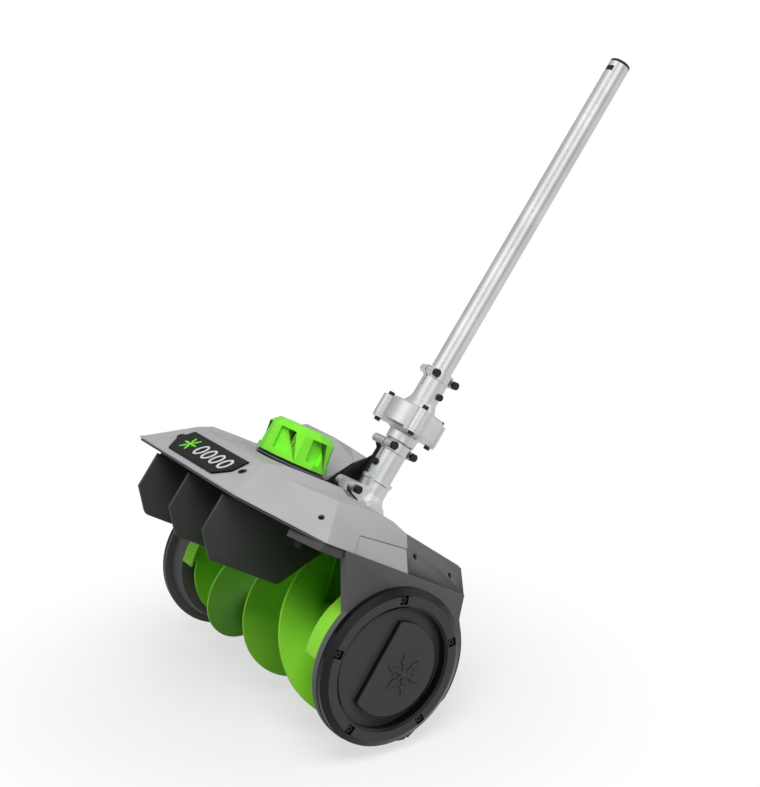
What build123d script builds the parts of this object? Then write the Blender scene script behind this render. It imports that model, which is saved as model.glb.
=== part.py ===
"""Powered snow shovel attachment: auger drum, vane hood, right-angle drive and shaft.

Millimetres. Origin on the auger axis. +X runs along the auger, -Y is the intake, +Z is up.
"""
from build123d import *
from math import acos, atan2, cos, degrees, radians, sin
import os

os.makedirs("parts", exist_ok=True)

# ---------------------------------------------------------------- driving dimensions
deck_tilt = 29.8                # the hood's deck leans back from level by this angle
parting_h = 96                  # height of the joint plane under the hood, along the deck normal
drum_r = 87.5                   # side plates, in front
rear_r = 95                     # side plates and housing, behind
side_x = 176                    # outer face of the side plates
plate_t = 3
plate_hole_r = 67
cover_r = 86.4
cover_x = 187                   # outer face of the end covers
left_wall = -154                # inner face of the belt side
right_wall = 169                # inner face of the bearing side
wall_t = 4
drum_neck_r = 79                # round neck between the belt side's plate and the auger
drum_neck_taper = 12
lip_t = 4                       # rib inside the front edge of the bearing side
front_y = -50                   # front edge of the side plates

auger_r = 80.8
auger_core_r = 20
auger_mid = 10.5                # where the left-hand and right-hand flights meet
auger_left = -144
auger_right = 166
flight_t = 3
auger_starts = [(23.5, 192.6), (215, 180)]   # angle from the rear, over the top, and pitch
disc_r = 67                     # end discs of the auger
shaft_r = 8
running_gap = 0.05

shroud_r = 91

shaft_lean = 52.7               # the long tube, up from level
axis_lift = 4.6                 # height at which the tube axis passes over the auger axis
tube_r = 12.7
tube_bore = 11.2
tube_start = 285
tube_end = 735
insert_mark = 660               # groove that shows how far the tube goes into the power head
bevel_s = 124                   # bevel centre, along the tube axis
pulley_small_r = 16
pulley_big_r = 40

vane_x = 77                     # spacing of the three vanes
pivot_w = -96                   # vane pivots and knob, along the deck
vane_t = 3.2

# ---------------------------------------------------------------- frames of reference
tilt = radians(deck_tilt)
deck_up = Vector(0, sin(tilt), cos(tilt))
deck_back = Vector(0, cos(tilt), -sin(tilt))
lean = radians(shaft_lean)
shaft_dir = Vector(0, cos(lean), sin(lean))
shaft_front = Vector(0, -sin(lean), cos(lean))
shaft_foot = Vector(0, axis_lift, 0)
shaft_axis = Axis(shaft_foot, shaft_dir)
auger_axis = Axis((0, 0, 0), (1, 0, 0))
bevel_centre = shaft_foot + shaft_dir * bevel_s
cross_y = bevel_centre.Y
cross_z = bevel_centre.Z
cross_axis = Axis(bevel_centre, (1, 0, 0))


def side(x):
    """Plane square to the auger: local x is +Y, local y is +Z."""
    return Plane(origin=(x, 0, 0), x_dir=(0, 1, 0), z_dir=(1, 0, 0))


def deck(h):
    """Plane parallel to the deck: local x is +X, local y runs back along the deck."""
    return Plane(origin=deck_up * h, x_dir=(1, 0, 0), z_dir=deck_up)


def long_section(x):
    """Plane square to the auger: local x runs back along the deck, local y is its normal."""
    return Plane(origin=(x, 0, 0), x_dir=deck_back, z_dir=(1, 0, 0))


def cross_section(w):
    """Plane square to the deck: local x is +X, local y is the deck normal."""
    return Plane(origin=deck_back * w, x_dir=(1, 0, 0), z_dir=deck_back * -1)


def on_shaft(s):
    """Plane square to the tube: local x is +X, local y is its rear side."""
    return Plane(origin=shaft_foot + shaft_dir * s, x_dir=(1, 0, 0), z_dir=shaft_dir)


shaft_half = Plane(origin=shaft_foot, x_dir=(1, 0, 0), z_dir=shaft_front)


def place(w, h):
    """World (y, z) of a point of the deck frame."""
    point = deck_back * w + deck_up * h
    return point.Y, point.Z


def facets(corners):
    """Faces that fill a ring of corners: one flat face, or two triangles along the raised diagonal."""
    normal = (corners[1] - corners[0]).cross(corners[2] - corners[0])
    if normal.length > 1e-6 and abs(normal.normalized().dot(corners[3] - corners[0])) < 1e-5:
        return [Face(Wire.make_polygon(corners, close=True))]
    triangles = (corners[:3], [corners[0], corners[2], corners[3]])
    return [Face(Wire.make_polygon(three, close=True)) for three in triangles]


def facet_solid(rings):
    """Closed faceted body through rings of matching corners."""
    faces = [Face(Wire.make_polygon(rings[0], close=True)), Face(Wire.make_polygon(rings[-1], close=True))]
    for near, far in zip(rings, rings[1:]):
        count = len(near)
        for i in range(count):
            j = (i + 1) % count
            if i < count // 2:
                corners = [near[i], near[j], far[j], far[i]]
            else:
                corners = [near[j], near[i], far[i], far[j]]
            faces += facets(corners)
    return Solid(Shell(faces))


def save(builder, label):
    builder.part.label = label
    export_step(builder.part, f"parts/{label}.step")


# ---------------------------------------------------------------- side frames and plates
shoulder_top = (parting_h - front_y * sin(tilt)) / cos(tilt)
lip_outline = [
    (front_y, 69),
    (front_y, (parting_h - 6 - front_y * sin(tilt)) / cos(tilt)),
    (front_y + 5, (parting_h - 6 - (front_y + 5) * sin(tilt)) / cos(tilt)),
    (front_y + 5, 69),
]
tower_r = pulley_small_r + 8
belt_reach = (cross_y**2 + cross_z**2) ** 0.5
belt_turn = degrees(atan2(cross_z, cross_y))
belt_open = degrees(acos((pulley_big_r - pulley_small_r) / belt_reach))


def polar(radius, angle, centre=(0, 0)):
    return centre[0] + radius * cos(radians(angle)), centre[1] + radius * sin(radians(angle))


def tower_outline(radius):
    """Straight sides of the belt tower, parallel to the belt's runs."""
    small = (cross_y, cross_z)
    big_r = radius + pulley_big_r - pulley_small_r
    return [
        polar(big_r, belt_turn + belt_open),
        polar(radius, belt_turn + belt_open, small),
        polar(radius, belt_turn - belt_open, small),
        polar(big_r, belt_turn - belt_open),
    ]


def shoulder():
    """Side outline from the front edge over the joint plane to the scraper, round behind."""
    with BuildSketch() as outline:
        with BuildLine():
            Polyline(
                (0, 0), (front_y, 0), (front_y, shoulder_top), place(58, parting_h), (91.8, 28.2),
                polar(rear_r, 12)
            )
            ThreePointArc(polar(rear_r, 12), polar(rear_r, -14), polar(rear_r, -39.4))
            Polyline(polar(rear_r, -39.4), (25.9, -92.2), (13.2, -86.5), (0, 0))
        make_face()
    return outline.sketch


def frame_profile(tower):
    """Side outline: the drum, the shoulder and, on one side, the belt tower."""
    with BuildSketch() as profile:
        Circle(drum_r)
        add(shoulder())
        if tower:
            with Locations((cross_y, cross_z)):
                Circle(tower_r)
            Polygon(*tower_outline(tower_r), align=None)
    return profile.sketch


def neck_profile(inset_by):
    """Outline of the belt side between its plate and the auger, cut in by a distance."""
    with BuildSketch() as rear:
        add(shoulder())
        if inset_by:
            offset(amount=-inset_by, kind=Kind.INTERSECTION)
    with BuildSketch() as profile:
        Circle(drum_neck_r - 4 - inset_by)
        add(rear.sketch)
        with Locations((cross_y, cross_z)):
            Circle(tower_r - inset_by)
        Polygon(*tower_outline(tower_r - inset_by), align=None)
    return profile.sketch


with BuildPart() as right_side_frame:
    with BuildSketch(side(right_wall)):
        add(frame_profile(False))
    extrude(amount=side_x - plate_t - right_wall)
    with BuildSketch(side(right_wall - lip_t)):
        Polygon(*lip_outline, align=None)
    extrude(amount=lip_t)
    with BuildSketch(side(right_wall + wall_t / 2)):
        Circle(plate_hole_r)
        Circle(20, mode=Mode.SUBTRACT)
    extrude(amount=wall_t / 2, mode=Mode.SUBTRACT)
    with Locations(side(right_wall)):
        Hole(14)

with BuildPart() as left_side_frame:
    with BuildSketch(side(plate_t - side_x)):
        add(neck_profile(0))
    extrude(amount=left_wall + side_x - plate_t)
    with BuildSketch(side(plate_t - side_x)):
        Circle(drum_neck_r)
    extrude(amount=left_wall + side_x - plate_t, taper=drum_neck_taper)
    with BuildSketch(side(plate_t - side_x)):
        add(neck_profile(wall_t))
    extrude(amount=left_wall - wall_t + side_x - plate_t, mode=Mode.SUBTRACT)
    with Locations(side(left_wall)):
        Hole(14)
    with BuildSketch(side(left_wall - wall_t)):
        with Locations((cross_y, cross_z)):
            Circle(12)
    extrude(amount=wall_t, mode=Mode.SUBTRACT)

with BuildPart() as right_side_plate:
    with BuildSketch(side(side_x - plate_t)):
        add(frame_profile(False))
        Circle(plate_hole_r, mode=Mode.SUBTRACT)
    extrude(amount=plate_t)

with BuildPart() as left_side_plate:
    with BuildSketch(side(-side_x)):
        add(frame_profile(True))
        Circle(plate_hole_r, mode=Mode.SUBTRACT)
    extrude(amount=plate_t)

# ---------------------------------------------------------------- end covers
pocket_r = 66
pad_r = 52
pad_line = 23                   # distance of the pad's straight wall from the centre
pad_angle = 143.8
dish_tilt = 4.8
dish_shallow = 2
dish_deep = 13
screw_ring_r = 75
screw_angles = [8 + 72 * i for i in range(5)]
notch = 9.5

cover_rise = cover_x - side_x
cover_half_section = [
    (pocket_r, 0),
    (cover_r, 0),
    (cover_r, cover_rise - 4.5),
    (79, cover_rise),
    (69, cover_rise),
    (pocket_r, cover_rise - 2),
]


def screw_plane(sign, angle, x):
    """Plane facing outward at one cover screw."""
    out = Vector(0, cos(radians(angle)), sin(radians(angle)))
    return Plane(origin=out * screw_ring_r + Vector(sign * x, 0, 0), x_dir=out, z_dir=(sign, 0, 0))


def end_cover(sign):
    """Dished cover: bevelled ring, sloping floor and a raised pad with one straight wall."""
    pad_dir = Vector(0, cos(radians(pad_angle)), sin(radians(pad_angle)))
    outward = Vector(sign, 0, 0)
    turn = radians(dish_tilt)
    dish_mid = outward * (cover_x - (dish_shallow + dish_deep) / 2)
    radial = Plane(origin=outward * side_x, x_dir=(0, 0, 1), z_dir=(0, sign, 0))
    dish = Plane(origin=dish_mid, x_dir=pad_dir, z_dir=outward * cos(turn) - pad_dir * sin(turn))
    pad = Plane(origin=dish_mid, x_dir=pad_dir, z_dir=outward)
    relief = Plane(origin=outward * (cover_x + 0.2) - pad_dir * 14, x_dir=pad_dir, z_dir=outward)
    with BuildPart() as cover:
        with BuildSketch(radial):
            Polygon(*cover_half_section, align=None)
        revolve(axis=auger_axis)
        with BuildSketch(dish.offset(-2.5)):
            Circle(pocket_r + 0.6)
        extrude(amount=2.5)
        with BuildSketch(pad.offset(-2)):
            Circle(pad_r)
            with Locations((pad_line, 0)):
                Rectangle(pad_r, 2 * pad_r, align=(Align.MIN, Align.CENTER), mode=Mode.SUBTRACT)
        extrude(amount=(dish_shallow + dish_deep) / 2 + 2.3)
        fillet(cover.faces().filter_by(Axis.X).sort_by(Axis.X)[-1 if sign > 0 else 0].edges(), 1.2)
        with BuildSketch(relief):
            with PolarLocations(0, 3, 0, 180):
                Rectangle(44, 3)
            with PolarLocations(15, 6):
                RegularPolygon(5.2, 3)
        extrude(amount=1.2)
        for angle in screw_angles:
            with BuildSketch(screw_plane(sign, angle, cover_x)):
                Rectangle(notch, notch)
            extrude(amount=-5, mode=Mode.SUBTRACT)
    return cover


right_end_cover = end_cover(1)
left_end_cover = end_cover(-1)

with BuildPart() as end_cover_screws:
    for sign in (1, -1):
        for angle in screw_angles:
            with BuildSketch(screw_plane(sign, angle, cover_x - 5)):
                Circle(3.6)
            extrude(amount=3.4)
            with BuildSketch(screw_plane(sign, angle, cover_x - 1.6)):
                RegularPolygon(1.7, 6)
            extrude(amount=-2, mode=Mode.SUBTRACT)

# ---------------------------------------------------------------- main housing and blade
outer_r = rear_r
blade_angle = -60
housing_top = parting_h - 0.5
with BuildPart() as main_housing:
    with BuildSketch(side(left_wall)):
        with BuildLine():
            inner_top = place(0, shroud_r)
            ThreePointArc(inner_top, polar(shroud_r, 0), polar(shroud_r, blade_angle))
            Line(polar(shroud_r, blade_angle), polar(outer_r, blade_angle))
            ThreePointArc(polar(outer_r, blade_angle), polar(outer_r, -30), polar(outer_r, 0))
            Polyline(
                polar(outer_r, 0),
                (96.5, 30),
                place(57.5, housing_top),
                place(-8, housing_top),
                place(-8, shroud_r),
                inner_top,
            )
        make_face()
        with BuildLine():
            ThreePointArc(polar(outer_r, 20), polar(outer_r, 34), polar(outer_r, 48))
            Polyline(polar(outer_r, 48), place(53, housing_top - 4), (92.6, 36), polar(outer_r, 20))
        make_face(mode=Mode.SUBTRACT)
    extrude(amount=right_wall - left_wall)

blade_width = right_wall - left_wall - 4
with BuildPart() as scraper_blade:
    with BuildSketch(side(left_wall + 2)):
        Polygon(
            polar(outer_r + 0.7, -38),
            polar(outer_r + 1.4, -38),
            (73, -66),
            (27, -99),
            (18, -98),
            (22, -94.6),
            polar(outer_r + 0.7, blade_angle - 2),
            polar(outer_r + 0.7, blade_angle + 8),
            polar(outer_r + 0.7, -45),
            align=None,
        )
    extrude(amount=blade_width)
with BuildPart() as scraper_screws:
    for x in (-120, -40, 54, 134):
        with BuildSketch(Plane(origin=(x, 50, -82.6), x_dir=(1, 0, 0), z_dir=(0, 0.583, -0.813))):
            Circle(4)
        extrude(amount=3)


# ---------------------------------------------------------------- hood
nose_w = -216.7
hood_end = -25.5

# Outlines of the hood across the deck: distance back along the deck, the same for the lower side
# edge, then (x, height) from that edge over the side wall and the raised rib to the middle channel.
hood_stations = [
    (nose_w, nose_w, [(112.7, 101), (112.6, 102.4), (112.2, 103), (111, 103), (110, 103), (60, 103)]),
    (-176, -176, [(145.4, 98.4), (140, 102.8), (99.3, 123), (92.4, 127.6), (76, 138.2), (70, 138.8)]),
    (-154.5, -154.5, [(162.5, 97.1), (96.5, 133.2), (95, 134), (82, 144.6), (79, 144.6), (72, 141)]),
    (-121, -138, [(176, 96), (142.5, 136.2), (96, 136.6), (82, 145.5), (79, 145.5), (71, 142.4)]),
    (-99, -99, [(176, 96), (141.5, 137.2), (94, 138.6), (82, 145.7), (79, 145.7), (70, 143.2)]),
    (-78, -78, [(176, 96), (141.2, 138), (92, 140.2), (82, 145.7), (79, 145.7), (72, 142.2)]),
    (-71, -71, [(176, 96), (141, 138.4), (88, 139.9), (82, 140.2), (79, 140.1), (72, 139.9)]),
    (-44, -44, [(176, 96), (142, 137.3), (90, 139), (82, 139), (79, 139), (72, 139)]),
    (hood_end, hood_end, [(175.6, 96), (147.2, 131), (90, 132), (82, 132), (79, 132), (72, 132)]),
]
inset = [(-4, -8), (-2, -3), (-1.5, -3), (-1.4, -3), (1.4, -3), (1.2, -3)]


def deck_point(x, w, h):
    return deck_back * w + deck_up * h + Vector(x, 0, 0)


def hood_ring(w, edge_w, half):
    """Corners of one outline across the hood, symmetrical about the middle."""
    edge = half[0]
    upper = half[1:]
    right = [deck_point(x, w, h) for x, h in reversed(upper)]
    left = [deck_point(-x, w, h) for x, h in upper]
    return right + [deck_point(edge[0], edge_w, edge[1]), deck_point(-edge[0], edge_w, edge[1])] + left


def inner_half(half):
    return [(x + dx, h + dh) for (x, h), (dx, dh) in zip(half, inset)]


hood_rings = [hood_ring(*station) for station in hood_stations]
inner_nose = [(108, 88), (107, 97), (105, 99), (104, 99.4), (103, 99.6), (58, 99.8)]
inner_rings = [hood_ring(-210, -210, inner_nose)]
inner_rings += [hood_ring(w, edge_w, inner_half(half)) for w, edge_w, half in hood_stations[1:-1]]
inner_rings += [hood_ring(hood_end + 2, hood_end + 2, inner_half(hood_stations[-1][2]))]

nose_tilt = radians(40.5)       # the nose slopes up to the channel at this angle
nose_out = deck_up * cos(nose_tilt) - deck_back * sin(nose_tilt)
nose_plane = Plane(origin=deck_point(0, -200.6, 117.75), x_dir=(1, 0, 0), z_dir=nose_out)
badge_outline = [(-49.8, -17), (49.8, -17), (64.3, 0), (61.4, 22), (-61.4, 22), (-64.3, 0)]
nose_screw_spots = [(70.8, 8), (-70.8, 8)]
notch_left = -26
notch_right = 42
knob_h = 145.5
cowl_left = -150


def flank_plane(sign):
    """Sloping side wall of the hood: local x runs back, local y up the slope on the right side."""
    up_slope = (deck_point(sign * 141.5, 0, 137.8) - deck_point(sign * side_x, 0, parting_h)).normalized()
    return Plane(
        origin=deck_point(sign * side_x, 0, parting_h),
        x_dir=deck_back * sign,
        z_dir=(deck_back * sign).cross(up_slope),
    )


def facet_plane(sign):
    """Front corner facet, at its screw."""
    low = deck_point(sign * side_x, -138, parting_h)
    high = deck_point(sign * 142.5, -121, 136.2)
    rib_foot = deck_point(sign * 95, -154.5, 134)
    normal = (high - low).cross(rib_foot - low) * sign
    return Plane(origin=deck_point(sign * 148.7, -137.2, 115.4), x_dir=deck_back, z_dir=normal)


right_flank = flank_plane(1)
left_flank = flank_plane(-1)
right_facet = facet_plane(1)
left_facet = facet_plane(-1)
flank_recess = [(-102, -3), (-93.2, 23), (-20, 29), (-20, -3)]

with BuildPart() as hood:
    add(facet_solid(hood_rings))
    add(facet_solid(inner_rings), mode=Mode.SUBTRACT)
    with BuildSketch(deck(180)):
        with Locations((0, pivot_w)):
            Circle(11)
    extrude(amount=-60, mode=Mode.SUBTRACT)
    with BuildSketch(deck(150)):
        with Locations(((cowl_left + notch_right) / 2, -60)):
            Rectangle(notch_right - cowl_left - 6, 60, align=(Align.CENTER, Align.MIN))
    extrude(amount=-50, mode=Mode.SUBTRACT)
    for flank, outline in ((right_flank, flank_recess), (left_flank, [(-u, v) for u, v in flank_recess])):
        with BuildSketch(flank.offset(-1.3)):
            Polygon(*outline, align=None)
        extrude(amount=6, mode=Mode.SUBTRACT)
    for facet in (right_facet, left_facet):
        with BuildSketch(facet):
            Circle(3.4)
        extrude(amount=-12, both=True, mode=Mode.SUBTRACT)
    with BuildSketch(deck(140.4)):
        Polygon((-52, -166), (52, -166), (46, -139), (-46, -139), align=None)
    extrude(amount=10, mode=Mode.SUBTRACT)
    with BuildSketch(nose_plane.offset(-2.3)):
        with Locations(*nose_screw_spots):
            Circle(5.2)
    extrude(amount=6, mode=Mode.SUBTRACT)
    with BuildSketch(nose_plane.offset(0.2)):
        with Locations(*nose_screw_spots):
            Circle(3)
    extrude(amount=-12, mode=Mode.SUBTRACT)

with BuildPart() as badge_plate:
    with BuildSketch(nose_plane.offset(0.3)):
        Polygon(*badge_outline, align=None)
    extrude(amount=1.6)
    chamfer(badge_plate.faces().sort_by(Axis(nose_plane.origin, nose_out))[-1].edges(), 0.5)

with BuildPart() as badge_emblem:
    with BuildSketch(nose_plane.offset(1.9)):
        with Locations((-34, 2)):
            with PolarLocations(0, 3, 0, 180):
                Rectangle(24, 2)
            with PolarLocations(7.5, 6):
                RegularPolygon(2.6, 3)
    extrude(amount=0.8)

with BuildPart() as badge_mark:
    with BuildSketch(nose_plane.offset(1.9)):
        for x in (-8, 10, 28, 46):
            with Locations((x, 2)):
                Ellipse(7, 10)
                Ellipse(4.4, 7.4, mode=Mode.SUBTRACT)
    extrude(amount=0.8)

# ---------------------------------------------------------------- liner under the hood
liner_t = 2.4
liner_h = parting_h - 0.1 - liner_t
rim_h = 86
wing_w = -113.2
liner_nose = [(111.4, 98.4), (111.4, 98.4 + liner_t)]
liner_side = [(174, liner_h), (174, liner_h + liner_t)]


def liner_ring(w, half):
    right = [deck_point(x, w, h) for x, h in half]
    return right + [deck_point(-x, w, h) for x, h in reversed(half)]


with BuildPart() as front_liner:
    liner_rings = [
        liner_ring(-214.8, liner_nose),
        liner_ring(-139.6, liner_side),
        liner_ring(wing_w, liner_side),
    ]
    add(facet_solid(liner_rings))
    with BuildSketch(deck(liner_h)):
        Polygon(
            (right_wall - 0.3, wing_w), (right_wall - 0.3, -9), (left_wall + 0.3, -9), (left_wall + 0.3, wing_w),
            align=None,
        )
    extrude(amount=liner_t)
    with BuildSketch(deck(rim_h)):
        for s in (1, -1):
            Polygon((s * 146, -165), (s * 174, -139.6), (s * 174, wing_w), (s * 146, wing_w), align=None)
    extrude(amount=liner_h - rim_h + 0.5)
    with BuildSketch(deck(80)):
        with Locations((-vane_x, pivot_w), (0, pivot_w), (vane_x, pivot_w)):
            Circle(6 + running_gap)
    extrude(amount=30, mode=Mode.SUBTRACT)

# ---------------------------------------------------------------- rear housing and drive cowl
rear_end = 57
side_screw_planes = []
for x, w, h in ((161.7, -14.7, 113.8), (164.6, 37.6, 108.4)):
    for sign in (1, -1):
        if sign > 0 or w < 0:
            side_screw_planes.append(Plane(origin=deck_point(sign * x, w, h), z_dir=flank_plane(sign).z_dir))
rear_front = [(175.6, parting_h), (148, 130.5), (140, 131.5)]
rear_back = [(175.6, parting_h), (155, 119), (148, 120.5)]
rear_front_in = [(172, 90), (146, 127), (139, 128)]
rear_back_in = [(172, 90), (152, 116), (147, 117)]
with BuildPart() as rear_housing:
    add(facet_solid([hood_ring(hood_end, hood_end, rear_front), hood_ring(rear_end, rear_end, rear_back)]))
    rear_inside = [
        hood_ring(hood_end - 1, hood_end - 1, rear_front_in),
        hood_ring(rear_end - 3, rear_end - 3, rear_back_in),
    ]
    add(facet_solid(rear_inside), mode=Mode.SUBTRACT)
    with BuildSketch(deck(150)):
        with Locations(((cowl_left - 3 + notch_right) / 2, hood_end - 2)):
            Rectangle(notch_right - cowl_left + 3, 46 - hood_end, align=(Align.CENTER, Align.MIN))
    extrude(amount=-36, mode=Mode.SUBTRACT)
    with BuildSketch(side(-side_x - 1)):
        with Locations((cross_y, cross_z)):
            Circle(tower_r + 0.3)
        Polygon(*tower_outline(tower_r + 0.3), align=None)
    extrude(amount=left_wall + side_x + 3, mode=Mode.SUBTRACT)
    with Locations(*side_screw_planes):
        Hole(3.2, depth=6)

with BuildPart() as hood_screws:
    for facet in (right_facet, left_facet):
        with BuildSketch(facet.offset(-3.5)):
            Circle(3.3)
        extrude(amount=-4)
    with BuildSketch(nose_plane.offset(-9)):
        with Locations(*nose_screw_spots):
            Circle(2.8)
    extrude(amount=6.8)
    with BuildSketch(nose_plane.offset(-2.2)):
        with Locations(*nose_screw_spots):
            Circle(4.4)
    extrude(amount=1.6)
    with BuildSketch(nose_plane.offset(-0.6)):
        with Locations(*nose_screw_spots):
            RegularPolygon(2, 6)
    extrude(amount=-1.2, mode=Mode.SUBTRACT)
    for spot in side_screw_planes:
        with BuildSketch(spot.offset(-4.5)):
            Circle(3.1)
        extrude(amount=2.6)
        with BuildSketch(spot.offset(-1.9)):
            RegularPolygon(1.5, 6)
        extrude(amount=-1.4, mode=Mode.SUBTRACT)

cowl_mouth = [(-34, 142), (-19, 147), (4, 173.5), (16, 183), (45.9, 171), (47, 128)]
cowl_side = [(-56, 142), (-39, 181.9), (-25, 189), (4, 185.8), (46, 172), (47, 128)]
cowl_low = [(-50, 141.5), (-30, 152), (-24, 154), (30, 152), (46, 148), (47, 128)]
cowl_stations = [(notch_left, cowl_mouth), (-45, cowl_side), (-104, cowl_side), (cowl_left, cowl_low)]
cowl_inset = [(4.5, -22), (2, -3.2), (0.5, -3.2), (-1, -3.2), (-3, -2), (-3, -22)]


def cowl_ring(x, side_points, inset_by):
    return [
        deck_back * (w + dw) + deck_up * (h + dh) + Vector(x, 0, 0)
        for (w, h), (dw, dh) in zip(side_points, inset_by)
    ]


no_inset = [(0, 0)] * len(cowl_side)
inner_cowl_x = [notch_left + 1, -46.5, -103, cowl_left + 3]
with BuildPart() as drive_cowl:
    add(facet_solid([cowl_ring(x, points, no_inset) for x, points in cowl_stations]))
    add(
        facet_solid([cowl_ring(x, points, cowl_inset) for x, (_, points) in zip(inner_cowl_x, cowl_stations)]),
        mode=Mode.SUBTRACT,
    )
    with BuildSketch(deck(parting_h)):
        with Locations((cowl_left - 10, -70)):
            Rectangle(150, 39, align=(Align.MIN, Align.MIN))
    extrude(amount=45.1, mode=Mode.SUBTRACT)
    with BuildSketch(side(cowl_left - 5)):
        with Locations((cross_y, cross_z)):
            Circle(12.2)
    extrude(amount=10, mode=Mode.SUBTRACT)

# ---------------------------------------------------------------- knob and vanes
knob_r = 40
knob_tall = 42
knob_chamfer = 8
collar_h = 143.6
knob_line = Axis(deck_back * pivot_w, deck_up)
with BuildPart() as knob:
    with BuildSketch(deck(knob_h + 2.5)):
        with Locations((0, pivot_w)):
            RegularPolygon(knob_r, 12, major_radius=False)
    extrude(amount=knob_tall - 2.5, taper=4)
    chamfer(knob.faces().sort_by(knob_line)[-1].edges(), knob_chamfer)
    with BuildSketch(deck(knob_h + 9)):
        with Locations((0, pivot_w)):
            with PolarLocations(knob_r, 6):
                Rectangle(16, 19)
    extrude(amount=knob_tall - 9 - knob_chamfer, mode=Mode.SUBTRACT)

with BuildPart() as knob_skirt:
    with BuildSketch(deck(knob_h)):
        with Locations((0, pivot_w)):
            Circle(knob_r - 2)
    extrude(amount=2.4)

with BuildPart() as knob_collar:
    with BuildSketch(deck(collar_h + 0.2)):
        with Locations((0, pivot_w)):
            Circle(40)
            Circle(11, mode=Mode.SUBTRACT)
    extrude(amount=knob_h - collar_h - 0.5)

arm_h = 104
arm_reach = 24
link_h = 109


vane_top = 93


def vane_outline():
    """Side view of one guide vane, back along the deck and up its normal."""
    with BuildSketch() as outline:
        Polygon(
            (-208, 95), (-213, 54), (-191, 27.7), (-100, 26), (-68, 69), (-57, 85.5), (-60, vane_top),
            (-165, vane_top), align=None,
        )
        fillet(outline.vertices().sort_by(Axis.Y)[:2], 10)
    return outline.sketch


def vane(x):
    with BuildPart() as blade:
        with BuildSketch(long_section(x - vane_t / 2)):
            add(vane_outline())
        extrude(amount=vane_t)
        with BuildSketch(deck(70)):
            with Locations((x, pivot_w)):
                Circle(7)
        extrude(amount=vane_top - 70)
    return blade


def spindle(x, top):
    """Vane spindle through the liner with its steering arm and link pin."""
    with BuildPart() as post:
        with BuildSketch(deck(vane_top)):
            with Locations((x, pivot_w)):
                Circle(6)
        extrude(amount=top - vane_top)
        with BuildSketch(deck(arm_h)):
            with Locations((x, pivot_w), (x, pivot_w + arm_reach)):
                Circle(7)
            with Locations((x, pivot_w + arm_reach / 2)):
                Rectangle(9, arm_reach)
        extrude(amount=link_h - arm_h - 0.3)
        with BuildSketch(deck(link_h - 0.3)):
            with Locations((x, pivot_w + arm_reach)):
                Circle(3)
        extrude(amount=5)
    return post


left_vane = vane(-vane_x)
centre_vane = vane(0)
right_vane = vane(vane_x)
left_spindle = spindle(-vane_x, arm_h + 5)
centre_spindle = spindle(0, knob_h)
right_spindle = spindle(vane_x, arm_h + 5)

with BuildPart() as link_bar:
    with BuildSketch(deck(link_h)):
        with Locations((0, pivot_w + arm_reach)):
            SlotCenterToCenter(2 * vane_x, 13)
            with Locations((-vane_x, 0), (0, 0), (vane_x, 0)):
                Circle(3.08, mode=Mode.SUBTRACT)
    extrude(amount=3.4)

# ---------------------------------------------------------------- auger
with BuildPart() as auger_shaft:
    with BuildSketch(side(-171.5)):
        Circle(shaft_r)
    extrude(amount=right_wall + wall_t + 171.5)


plate_from = -115               # each centre plate spans these angles about its start
plate_to = 47
band_from = 108                 # the rim bands at the ends of the drum span these angles
band_to = 164
band_t = 2.6


def flight(start, pitch, hand):
    """One half of a start: a ribbon from its paddle in the middle out to one end of the drum."""
    skip = pitch * plate_to / 360
    origin_x = auger_mid + hand * skip
    run = abs((auger_right if hand > 0 else auger_left) - origin_x)
    mid_r = (auger_r + auger_core_r - 3) / 2
    helix = Helix(pitch, run, mid_r, lefthand=hand < 0, direction=(hand, 0, 0), center=(origin_x, 0, 0))
    begin = helix @ 0
    path = helix.rotate(auger_axis, start + plate_to - degrees(atan2(begin.Z, begin.Y)))
    begin = path @ 0
    out = Vector(0, begin.Y, begin.Z).normalized()
    with BuildPart() as ribbon:
        with BuildSketch(Plane(origin=begin, x_dir=out, z_dir=path % 0)):
            Rectangle(auger_r - auger_core_r + 3, flight_t)
        sweep(path=path, is_frenet=True)
    return ribbon.part


def wedge(first, last):
    """Sector used to keep part of a ring, between two angles."""
    middle = (first + last) / 2
    return [(0, 0), polar(200, first), polar(300, middle), polar(200, last)]


with BuildPart() as auger:
    with BuildSketch(side(auger_left)):
        Circle(auger_core_r)
    extrude(amount=auger_right - auger_left)
    for start, pitch in auger_starts:
        add(flight(start, pitch, 1))
        add(flight(start, pitch, -1))
        with BuildSketch(side(auger_mid - flight_t / 2)):
            Circle(auger_r - 0.1)
            Polygon(*wedge(start + plate_from, start + plate_to), align=None, mode=Mode.INTERSECT)
        extrude(amount=flight_t)
        paddle_reach = pitch * plate_to / 360 + flight_t
        paddle_out = Vector(0, cos(radians(start + plate_to)), sin(radians(start + plate_to)))
        across = paddle_out.cross(Vector(1, 0, 0))
        with BuildSketch(Plane(origin=(auger_mid, 0, 0), x_dir=paddle_out, z_dir=across)):
            with Locations((auger_core_r - 4, 0)):
                Rectangle(auger_r - auger_core_r + 3.5, 2 * paddle_reach, align=(Align.MIN, Align.CENTER))
        extrude(amount=flight_t / 2, both=True)
    for x in (auger_left + 7, auger_right - flight_t):
        with BuildSketch(side(x)):
            Circle(disc_r)
        extrude(amount=flight_t)
    for inner, outer, near in ((auger_right, auger_right - 26, True), (auger_left, auger_left + 22, False)):
        with BuildSketch(side(min(inner, outer))):
            Circle(auger_r - 0.1)
            Circle(auger_r - band_t, mode=Mode.SUBTRACT)
            Polygon(*wedge(band_from, band_to), align=None, mode=Mode.INTERSECT)
        extrude(amount=abs(inner - outer))
    with BuildSketch(side(auger_left - 1)):
        Circle(shaft_r)
    extrude(amount=auger_right - auger_left + 2, mode=Mode.SUBTRACT)

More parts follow.
